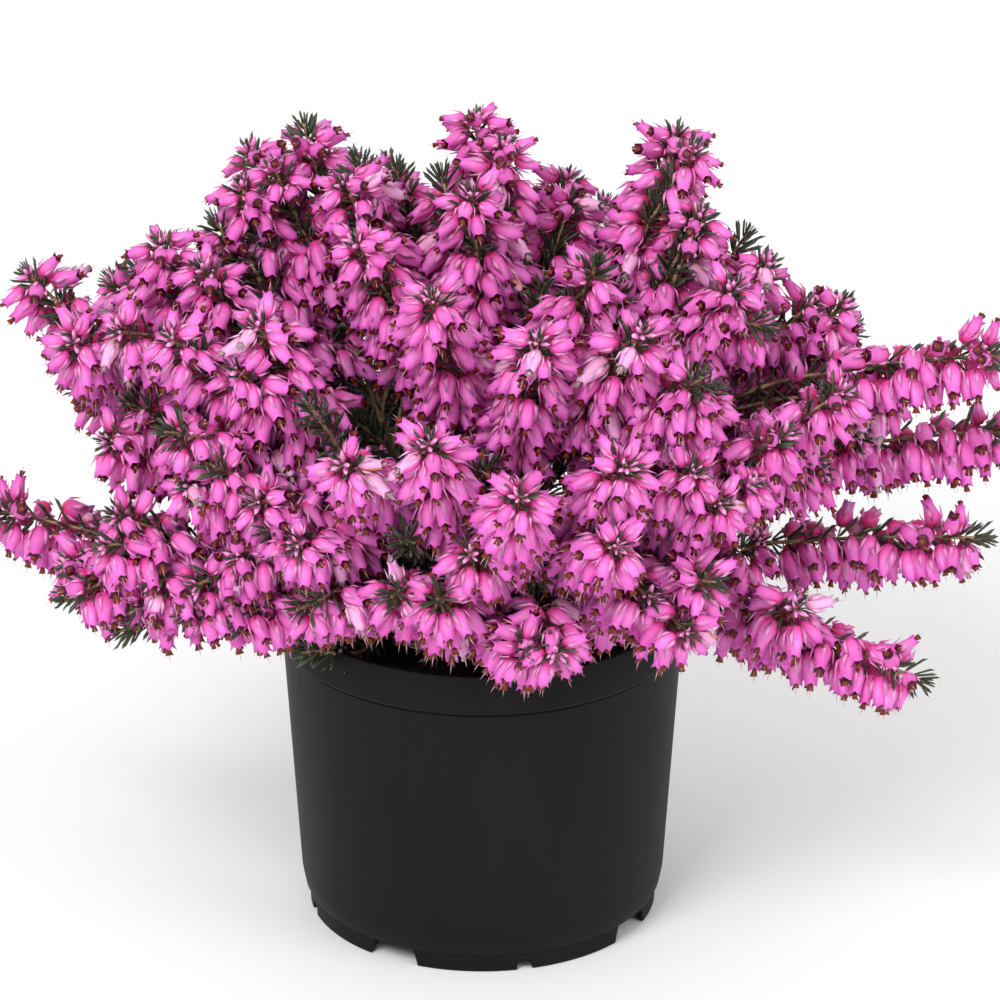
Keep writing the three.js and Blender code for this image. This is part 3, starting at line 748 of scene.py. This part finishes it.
# %% Leafy shoots
INNER_SHOOTS, INNER_LENGTH = 14, 16  # short ones inside the dome, to a plant
DOME_TOP, DOME_SLOPE = 172, 0.75  # a tip's height falls with its reach
TILT_TOP, TILT_SLOPE = 80, 0.8  # and so does its tilt, in degrees
inner_shoots = []
for plant, (azimuth, _) in PLANTS.items():
    for number in range(INNER_SHOOTS):
        aside = azimuth + rng.uniform(-60, 60)
        reach = rng.uniform(18, 72)
        height = DOME_TOP - DOME_SLOPE * reach + rng.uniform(-28, 4)
        tilt = np.clip(TILT_TOP - TILT_SLOPE * reach + rng.uniform(-12, 12), 5, 85)
        row = (aside, reach, height, tilt, INNER_LENGTH)
        inner_shoots.append(lay_out(plant, number, row, [], 0))
    for number, row in enumerate(LEAFY_SHOOTS[plant]):
        inner_shoots.append(lay_out(plant, number, row, [], 0))
print("leafy shoots:", len(inner_shoots))

# %% Side branches
BRANCH_NECK = 2
LEVEL_BELOW = 45  # degrees: most sprays that rise less than this end in a tuft of needles
TUFTED = {"level": 0.75, "upright": 0.15, "forked": 0.25, "side": 0.3}


def branch_off(parent, fraction, length):
    """A short flowering branch on the bare part of a stem, leaning forward, out and up."""
    time = float(even_times(parent["curve"], fraction))
    start, lead = bezier(parent["curve"], time), tangent_at(parent["curve"], time)
    aside = unit(np.cross(lead, rng.normal(size=3)))
    axis = unit(lead * 0.8 + aside * 0.65 + UP * 0.3)
    tip = start + axis * (length + rng.uniform(6, 12))
    base = tip - axis * length
    joint = base - axis * BRANCH_NECK
    span = np.linalg.norm(joint - start)
    curve = (start, start + lead * LEAVE * span, joint - axis * ARRIVE * span, joint)
    return {"plant": parent["plant"], "axis": axis, "tip": tip, "base": base, "length": length,
            "host": parent, "curve": curve, "tufted": rng.random() < TUFTED["side"]}


for spray in forked:
    spray["tufted"] = rng.random() < TUFTED["forked"]
branches = []
for number, spray in enumerate(sprays):
    lie = "level" if spray["rise"] < LEVEL_BELOW else "upright"
    spray["tufted"] = rng.random() < TUFTED[lie]
    if number % 3:
        branches.append(branch_off(spray, rng.uniform(0.5, 0.92), rng.uniform(16, 24)))
for plant, rows in SIDE_SPRAYS.items():
    elders = [spray for spray in sprays if spray["plant"] == plant]
    for number, row in enumerate(rows, 1):
        side_spray = lay_out(plant, number, row, elders, rng.uniform(0.35, 0.7))
        side_spray["tufted"] = rng.random() < TUFTED["side"]
        branches.append(side_spray)
print("side branches:", len(branches))

# %% Stems of each plant
STEM_RADIUS, FORK_RADIUS, TIP_RADIUS = 1.0, 0.7, 0.45
TRUNK_HEIGHTS = np.array([TRUNK_FOOT, 80, 85, 88, 92, 97, 99])
TRUNK_RADII = np.array([1.6, 2.0, 2.6, 2.5, 2.2, 2.1, 1.2])

for plant, (azimuth, _) in PLANTS.items():
    paths = []
    for spray in sprays + forked + branches + inner_shoots:
        if spray["plant"] != plant:
            continue
        points = stem_path(spray)
        thick = FORK_RADIUS if spray["host"] else STEM_RADIUS
        paths.append((points, np.linspace(thick, TIP_RADIUS, len(points))))
    paths.append((heading(azimuth) * TRUNK_RING + TRUNK_HEIGHTS[:, None] * UP, TRUNK_RADII))
    stems = rods(f"bark_{plant}", paths)
    stems.data.materials.append(bark)
    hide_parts(f"stems_{plant}")
    print(stems.name, len(stems.data.polygons), "faces")

# %% [markdown]
# ## Needles
# A heath leaf is a needle about 7 mm long and under 1 mm wide, flat above and rolled at the
# edges, in whorls of four, with a tuft of shorter ones at each tip. It is turned from three
# sides with two rings, flattened, and bent a little by its upper ring. Its wax gives it a
# slight gloss, and its colour runs from a pale foot to a dark grey-green blade.

# %% Needle model
def paint_strip(shape, start, end, low, high):
    """A UV map along the shape, from start at height low to end at height high (mm), with
    some room sideways so that every face has an area to be baked on."""
    layer = shape.data.uv_layers.new(name="OFBake")
    for loop in shape.data.loops:
        co = shape.data.vertices[loop.vertex_index].co / MM
        along = np.clip((co.z - low) / (high - low), 0, 1)
        sideways = 0.5 + 0.5 * math.sin(2 * math.atan2(co.y, co.x))
        layer.data[loop.index].uv = (start + (end - start) * along, sideways)
    return shape


def strip_colours(tree, across, up):
    """The UV map's two axes, and the colours across the strip times the tones up it."""
    strip = add_node(tree, "UVMap", uv_map="OFBake")
    axes = add_node(tree, "SeparateXYZ", {"Vector": strip.outputs["UV"]}).outputs
    colours = add_node(tree, "ValToRGB", {"Fac": axes["X"]}, stops=across)
    tones = add_node(tree, "ValToRGB", {"Fac": axes["Y"]}, stops=up)
    toned = add_node(tree, "MixRGB", {
        "Fac": 1.0, "Color1": colours.outputs["Color"], "Color2": tones.outputs["Color"],
    }, blend_type="MULTIPLY")
    return axes, toned.outputs["Color"]


NEEDLE_LENGTH, FLATTENED, BEND = 7, 0.7, 0.35
needle = turn("needle", [(0, 0), (0.45, 1.0), (0.56, 5.6), (0, NEEDLE_LENGTH)], 3)
for vertex in needle.data.vertices:
    vertex.co.y *= FLATTENED
    if 0.004 < vertex.co.z < 0.0065:
        vertex.co.y += BEND * MM
needle_model = model_data(paint_strip(needle, 0.05, 0.95, 0, NEEDLE_LENGTH))

leaf, tree, shader = new_material("waxy heath needle", Roughness=0.42, IOR=1.45)
axes, leaf_colour = strip_colours(
    tree, [(0.05, "#9a9068"), (0.22, "#566149"), (0.8, "#4b5645"), (0.97, "#74755a")],
    [(0.0, "#8f9a86"), (0.5, "#c8cdc0"), (0.85, "#ffffff"), (1.0, "#ffe9b0")])
feed(shader, Base_Color=leaf_colour)
print("needle:", len(needle_model[1]), "faces")


# %% Needle places
def sides_of(axis):
    """Two directions square to an axis and to each other."""
    side = unit(np.cross(axis, UP if abs(axis[2]) < 0.95 else np.array([1.0, 0, 0])))
    return side, np.cross(axis, side)


def whorl(point, axis, count, turn_by, spread, length):
    """Needles of one whorl: their foot points, directions and lengths."""
    side, across = sides_of(axis)
    angles = turn_by + np.arange(count) * 2 * math.pi / count + rng.normal(0, 0.12, count)
    out = np.cos(angles)[:, None] * side + np.sin(angles)[:, None] * across
    lean = np.radians(spread + rng.normal(0, 8, count))[:, None]
    direction = unit(np.cos(lean) * axis + np.sin(lean) * out)
    return point + out * TIP_RADIUS, direction, length * rng.uniform(0.82, 1.1, count)


UPRIGHT = 0.7  # the sine of the rise above which the top of a spray is open to one side
OPEN_PART = (0.45, 0.84)  # and the shares of its length between which it is
STEM_STEP, SHOOT_STEP, SPRAY_STEP, OPEN_STEP = 3.0, 2.6, 4.6, 0.06  # mm, the last a share
STEM_WHORL, SPRAY_WHORL = (55, 7.0), (46, 7.8)  # degrees off the stem, and mm long
# The whorls of a tuft: mm below the tip, how many needles, degrees off the stem, mm long.
TUFT = [(7.5, 5, 50, 7.6), (5.2, 5, 38, 6.8), (3.2, 5, 26, 5.2), (2.0, 4, 10, 3.4)]
TUFT_LENGTH = 7


def needles_of(shoot, leafy_from, in_flower):
    """All needles of one stem: up its bare part, among its flowers, and its tuft."""
    found = []
    curve = shoot["curve"]
    length = np.linalg.norm(np.diff(bezier(curve, np.linspace(0, 1, 60)), axis=0), axis=1).sum()
    count = max(int((1 - leafy_from) * length / STEM_STEP), 2)
    for index, time in enumerate(even_times(curve, np.linspace(leafy_from, 1, count))):
        lead = tangent_at(curve, time)
        found.append(whorl(bezier(curve, time), lead, 4, index * math.pi / 4, *STEM_WHORL))
    body = shoot["length"] - TUFT_LENGTH
    stations = np.arange(1, body, SPRAY_STEP if in_flower else SHOOT_STEP)
    if in_flower and shoot["axis"][2] > UPRIGHT:
        stations = np.concatenate([stations, np.arange(*OPEN_PART, OPEN_STEP) * body])
    for index, point in enumerate(axis_points(shoot, stations)):
        found.append(whorl(point, shoot["axis"], 4, index * math.pi / 4 + 0.3, *SPRAY_WHORL))
    for step, (back, count, spread, size) in enumerate(TUFT):
        point = axis_points(shoot, [shoot["length"] - back])[0]
        found.append(whorl(point, shoot["axis"], count, step * 0.7, spread, size))
    return [np.concatenate(part) for part in zip(*found)]


# The kinds of stem, the share of each that is bare below, and whether it flowers.
KINDS = [(sprays, 0.32, True), (forked + branches, 0.5, True), (inner_shoots, 0.25, False)]
for plant in PLANTS:
    parts = [needles_of(shoot, leafy_from, in_flower) for shoots, leafy_from, in_flower in KINDS
             for shoot in shoots if shoot["plant"] == plant]
    places, directions, lengths = [np.concatenate(part) for part in zip(*parts)]
    turns = turned_to(directions, rng.uniform(0, 2 * math.pi, len(places)))
    needles = stamp(f"needles_{plant}", needle_model, places, turns, lengths / NEEDLE_LENGTH,
                    rng.uniform(0, 1, len(places)), leaf)
    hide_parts(f"stems_{plant}")
    print(needles.name, len(places), "needles")

# %% [markdown]
# ## One flower
# A winter heath's flower is a bell about 7 mm long, a narrow urn that is widest a third of
# the way down and drawn in at the mouth, with four small lobes. Four narrow paler sepals
# clasp three quarters of it. Eight dark brown anthers stand out of the mouth in a tight ring,
# round one thin style. Because it repeats thousands of times, each part gets only the few
# faces that its outline needs: the anthers are one crown of five points. Every part takes its
# own stretch of the strip of colours.

# %% Bell and sepals
# The mouth's stretch of the strip is a painted shade: dark deep magenta for the faces that close
# each bell's mouth, where its hollow inside would lie in shade.
STRIP = {"bell": (0.03, 0.42), "mouth": (0.45, 0.03), "sepals": (0.52, 0.62),
         "anthers": (0.66, 0.80), "style": (0.86, 0.90), "stalk": (0.94, 0.98),
         "bud": (0.50, 0.62)}
BELL_SIDES, MOUTH_HEIGHT = 8, 7.4
LOBE_RISE, NOTCH_DROP, LOBE_FLARE = 0.5, 0.4, 1.3


def odd_side(point, sides):
    """Whether a point stands at an odd one of the sides round the Z axis."""
    return round(math.degrees(math.atan2(point.y, point.x)) / (360 // sides)) % 2 == 1


bell = turn("bell", [(0, 0), (1.5, 0.6), (2.2, 2.6), (1.35, 6.5), (1.4, MOUTH_HEIGHT), (0, 6.2)],
            BELL_SIDES)
for vertex in bell.data.vertices:
    if vertex.co.z < (MOUTH_HEIGHT - 0.1) * MM:
        continue
    if odd_side(vertex.co, BELL_SIDES):
        vertex.co.z -= NOTCH_DROP * MM
    else:
        vertex.co.z += LOBE_RISE * MM
        vertex.co.xy *= LOBE_FLARE
paint_strip(bell, *STRIP["bell"], 0, 8)
strip = bell.data.uv_layers.active.data
# The faces that close the bell's mouth take the mouth's painted shade, a dark colour where the
# hollow inside is in shade.
for face in bell.data.polygons:
    if face.center.z > 0.0066 and face.normal.z > 0.2:
        for loop in face.loop_indices:
            strip[loop].uv.x = STRIP["mouth"][0] + STRIP["mouth"][1] * (strip[loop].uv.x > 0.4)

parts = [bell]
SEPAL_LINE = ([0, 2.2, 5.6], [1.0, 2.5, 2.85])  # how far a sepal stands off, up its length
SEPAL_THIN = 0.35
for index in range(4):
    sepal = turn("sepal", [(0, 0.2), (0.9, 2.4), (0, 5.6)], 3)
    for vertex in sepal.data.vertices:
        stand_off = np.interp(vertex.co.z / MM, *SEPAL_LINE) * MM
        vertex.co.x = vertex.co.x * SEPAL_THIN + stand_off
    paint_strip(sepal, *STRIP["sepals"], 0.2, 5.6)
    sepal.data.transform(Matrix.Rotation(math.radians(45 + 90 * index), 4, "Z"))
    parts.append(sepal)
print("bell:", len(bell.data.polygons), "faces")

# %% Anthers, style, stalk and bud
CROWN_SIDES, CROWN_NOTCH = 10, 7.6
anthers = turn("anthers", [(0, 6.3), (0.95, 8.9), (0, 7.4)], CROWN_SIDES)
for vertex in anthers.data.vertices:
    if math.hypot(*vertex.co.xy) > 0.0005 and odd_side(vertex.co, CROWN_SIDES):
        vertex.co = (vertex.co.x * 0.62, vertex.co.y * 0.62, CROWN_NOTCH * MM)
parts.append(paint_strip(anthers, *STRIP["anthers"], 6.3, 8.9))
style = turn("style", [(0, 5.5), (0.13, 9), (0, 10.8)], 3)
parts.append(paint_strip(style, *STRIP["style"], 5.5, 10.8))
select_only(*parts)
bpy.ops.object.join()
flower_model = model_data(bell)
stalk = turn("stalk", [(0, -0.4), (0.33, 0.5), (0, 1.1)], 3)
stalk_model = model_data(paint_strip(stalk, *STRIP["stalk"], 0, 1))
bud = turn("bud", [(0, 0), (0.85, 1.0), (0.7, 3.0), (0, 4.6)], 5)
bud_model = model_data(paint_strip(bud, *STRIP["bud"], 0, 4.6))
print("flower:", len(flower_model[1]), "faces")

# %% [markdown]
# ### Waxy petals
# The petals are magenta pink, redder at the base and lightest at the waist, with a soft waxy
# gloss, and light passes through their thin walls. The strip across the UV map holds the
# colours of bell, mouth, sepals, anthers, style and stalk in turn. The mouth's colour is a
# painted shade: dark deep magenta on the faces that close each bell, where its hollow inside
# would lie in shade. Up the map, the lowest tones are withered flowers, which have gone orange
# brown, and the next are pale ones: partly older flowers, partly a painted highlight, copies
# painted paler as if lit. The other tones darken some flowers at random and turn them a little
# violet, partly as painted shade.

# %% Flower material
# PALE_BELOW and PALENESS give the pale flowers, partly older ones and partly a painted highlight.
WITHERED_BELOW, PALE_BELOW, PALENESS = 0.028, 0.075, 0.45

petal, tree, shader = new_material("waxy heath petals", Roughness=0.4, IOR=1.4,
                                   Subsurface_Weight=0.15, Subsurface_Scale=0.0015,
                                   Subsurface_Radius=(1.0, 0.35, 0.7))
axes, fresh = strip_colours(tree, [
    (0.03, "#d43a74"), (0.10, "#ee5cb6"), (0.24, "#f48ad8"), (0.42, "#e25cc6"),
    # The stops at 0.44 and 0.49 are the mouth's painted shade, dark deep magenta.
    (0.44, "#5c1038"), (0.49, "#5c1038"), (0.50, "#e260ac"), (0.62, "#fab4e4"),
    (0.64, "#4c1b13"), (0.76, "#863a1d"), (0.82, "#632814"), (0.84, "#d78fb4"),
    (0.91, "#e8b6cb"), (0.93, "#b23854"), (1.0, "#b23854"),
], [
    # These tones vary each flower at random, and partly are painted shade: the darker, more violet
    # copies stand for flowers in shade.
    (0.0, "#ffffff"), (0.05, "#ffffff"), (0.30, "#f0d2e6"), (0.65, "#fdf4fb"), (1.0, "#ffffff"),
])
old = add_node(tree, "ValToRGB", {"Fac": axes["X"]}, stops=[
    (0.03, "#a8452e"), (0.20, "#d9773a"), (0.42, "#e39a62"), (0.52, "#b8643c"),
    (0.64, "#4a1d10"), (0.84, "#c99a7a"), (1.0, "#7b3a2a"),
])
pale, withered = [
    add_node(tree, "Math", {0: axes["Y"], 1: limit}, operation="LESS_THAN")
    for limit in (PALE_BELOW, WITHERED_BELOW)]
paler = add_node(tree, "Math", {0: pale.outputs["Value"], 1: PALENESS}, operation="MULTIPLY")
# Pale flowers, partly older ones and partly a painted highlight: these copies are mixed towards a
# whitish pink as if lit.
pale_aged_and_highlit = add_node(tree, "MixRGB", {
    "Fac": paler.outputs["Value"], "Color1": fresh, "Color2": linear("#f6dcea")})
final = add_node(tree, "MixRGB", {
    "Fac": withered.outputs["Value"], "Color1": pale_aged_and_highlit.outputs["Color"],
    "Color2": old.outputs["Color"]})
feed(shader, Base_Color=final.outputs["Color"])
print("petal material done")

# %% [markdown]
# ## Sprays
# Flowers stand in whorls of four, each whorl an eighth of a turn round from the last. A
# stalk lifts each bell off the stem, and the bell then nods: it hangs outwards and down. On
# a level stem the upper flowers swing round to its sides, so needles stand clear above.
# Towards the tip the flowers are younger, smaller, and point along the stem. Upright sprays
# have lost most of the flowers on one side near the top, and tips without a tuft of needles
# end in a star of closed buds.

# %% Flower places
WHORL_SPACING, STALK, BUDS = 3.4, 3.7, 6
TUFT_ROOM, BUD_ROOM = 6.0, 2.5  # mm without flowers at a tip
YOUNG_FROM, YOUNG_PART = 0.72, 0.28  # the flowers grow younger over the last part of a spray
OPEN_TOWARDS = unit(np.array([0.1, -1.0, 0.25]))
OPEN_LIMIT = 0.45  # the cosine between it and a flower that is on the open side
MISSING_OPEN, MISSING_ELSEWHERE = 0.7, 0.04


def is_missing(spray, share, out):
    """Whether a flower is missing: most on the open side of an upright spray's top are, so
    the pale stem and its needles show there."""
    open_side = (spray["axis"][2] > UPRIGHT and OPEN_PART[0] < share < OPEN_PART[1]
                 and np.dot(out, OPEN_TOWARDS) > OPEN_LIMIT)
    return rng.random() < (MISSING_OPEN if open_side else MISSING_ELSEWHERE)


def flowers_of(spray):
    """Places, directions, sizes, and stalk feet of the flowers of one spray."""
    axis = spray["axis"]
    side, across = sides_of(axis)
    flat = down_across(axis)
    body = spray["length"] - (TUFT_ROOM if spray["tufted"] else BUD_ROOM)
    feet, bases, hangs, sizes = [], [], [], []
    twist = rng.uniform(0, 2 * math.pi)
    index, distance = 0, 1.0
    while distance < body:
        youth = max(distance / body - YOUNG_FROM, 0) / YOUNG_PART
        for quarter in range(4):
            angle = twist + quarter * math.pi / 2 + index * math.pi / 4 + rng.normal(0, 0.22)
            out = math.cos(angle) * side + math.sin(angle) * across
            if is_missing(spray, distance / body, out):
                continue
            out = unit(out + (0.5 - 0.3 * youth) * flat + rng.normal(0, 0.08, 3))
            at = axis_points(spray, [distance + rng.normal(0, 0.6)])[0]
            stalk = STALK * rng.uniform(0.75, 1.2) * (1 - 0.4 * youth)
            base = at + out * (0.4 + stalk) + axis * 0.5 - UP * 0.3
            feet.append(at + out * 0.3)
            bases.append(base)
            hangs.append(unit(out * 0.9 - UP * (0.95 - 0.9 * youth) + axis * (0.1 + 0.15 * youth)
                              + rng.normal(0, 0.17, 3)))
            sizes.append(rng.uniform(1.06, 1.26) * (1 - 0.22 * youth))
        index += 1
        distance += WHORL_SPACING - 0.8 * youth
    return [np.array(part) for part in (feet, bases, hangs, sizes)]


def buds_of(spray):
    """Places, directions and sizes of the closed buds that make a star at one tip."""
    side, across = sides_of(spray["axis"])
    places, ways, sizes = [], [], []
    for number in range(0 if spray["tufted"] else BUDS):
        angle = number * 2.4 + rng.normal(0, 0.2)
        out = math.cos(angle) * side + math.sin(angle) * across
        places.append(axis_points(spray, [spray["length"] - 3.2 + 0.25 * number])[0] + out * 0.4)
        ways.append(unit(spray["axis"] + out * (1.3 - 0.11 * number)))
        sizes.append(rng.uniform(0.6, 1.1) * (1 - 0.04 * number))
    return places, ways, sizes


def flower_piece(name, group):
    """One mesh of the flowers, stalks and buds of a group of sprays."""
    found = [np.concatenate(part) for part in zip(*[flowers_of(spray) for spray in group])]
    feet, bases, hangs, sizes = found
    count = len(feet)
    tones = rng.uniform(0, 1, count)
    turns = turned_to(hangs, rng.uniform(0, 2 * math.pi, count))
    piece = stamp(name, flower_model, bases, turns, sizes, tones, petal)
    reach = bases - feet
    lengths = np.linalg.norm(reach, axis=1)
    stretch = np.column_stack([np.ones(count), np.ones(count), lengths])
    extras = [stamp(f"{name}_stalks", stalk_model, feet, turned_to(reach, np.zeros(count)),
                    stretch, tones, petal)]
    places, ways, bud_sizes = [sum(part, []) for part in zip(*[buds_of(spray) for spray in group])]
    if places:
        bud_tones = rng.uniform(0.5, 1, len(places))
        turns = turned_to(np.array(ways), np.zeros(len(places)))
        extras.append(stamp(f"{name}_buds", bud_model, places, turns, bud_sizes, bud_tones, petal))
    select_only(piece, *extras)
    bpy.ops.object.join()
    return piece, count


flower_total = 0
for spray in sprays:
    group = [spray] + [side for side in forked if side["host"] is spray]
    piece, count = flower_piece(f"bells_{spray['name']}", group)
    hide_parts(f"spray_{spray['name']}")
    flower_total += count
for plant in PLANTS:
    group = [branch for branch in branches if branch["plant"] == plant]
    piece, count = flower_piece(f"side_bells_{plant}", group)
    flower_total += count
    print(piece.name, count, "flowers")
print("flowers:", flower_total)

# %% [markdown]
# ## Finish
# The size of the dressed plant is measured beside the solids', and its triangles are counted.

# %% Finish
bpy.ops.object.select_all(action="DESELECT")
visual_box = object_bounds()
for name, box in (("CAD", cad_box), ("visual", visual_box)):
    print(name, "box", [[round(x / MM, 1) for x in corner] for corner in box])
shown = [o.data for o in bpy.data.objects
         if o.type == "MESH" and not o.hide_render and o.name != "floor"]
print("triangles:", sum(len(face.vertices) - 2 for mesh in shown for face in mesh.polygons))
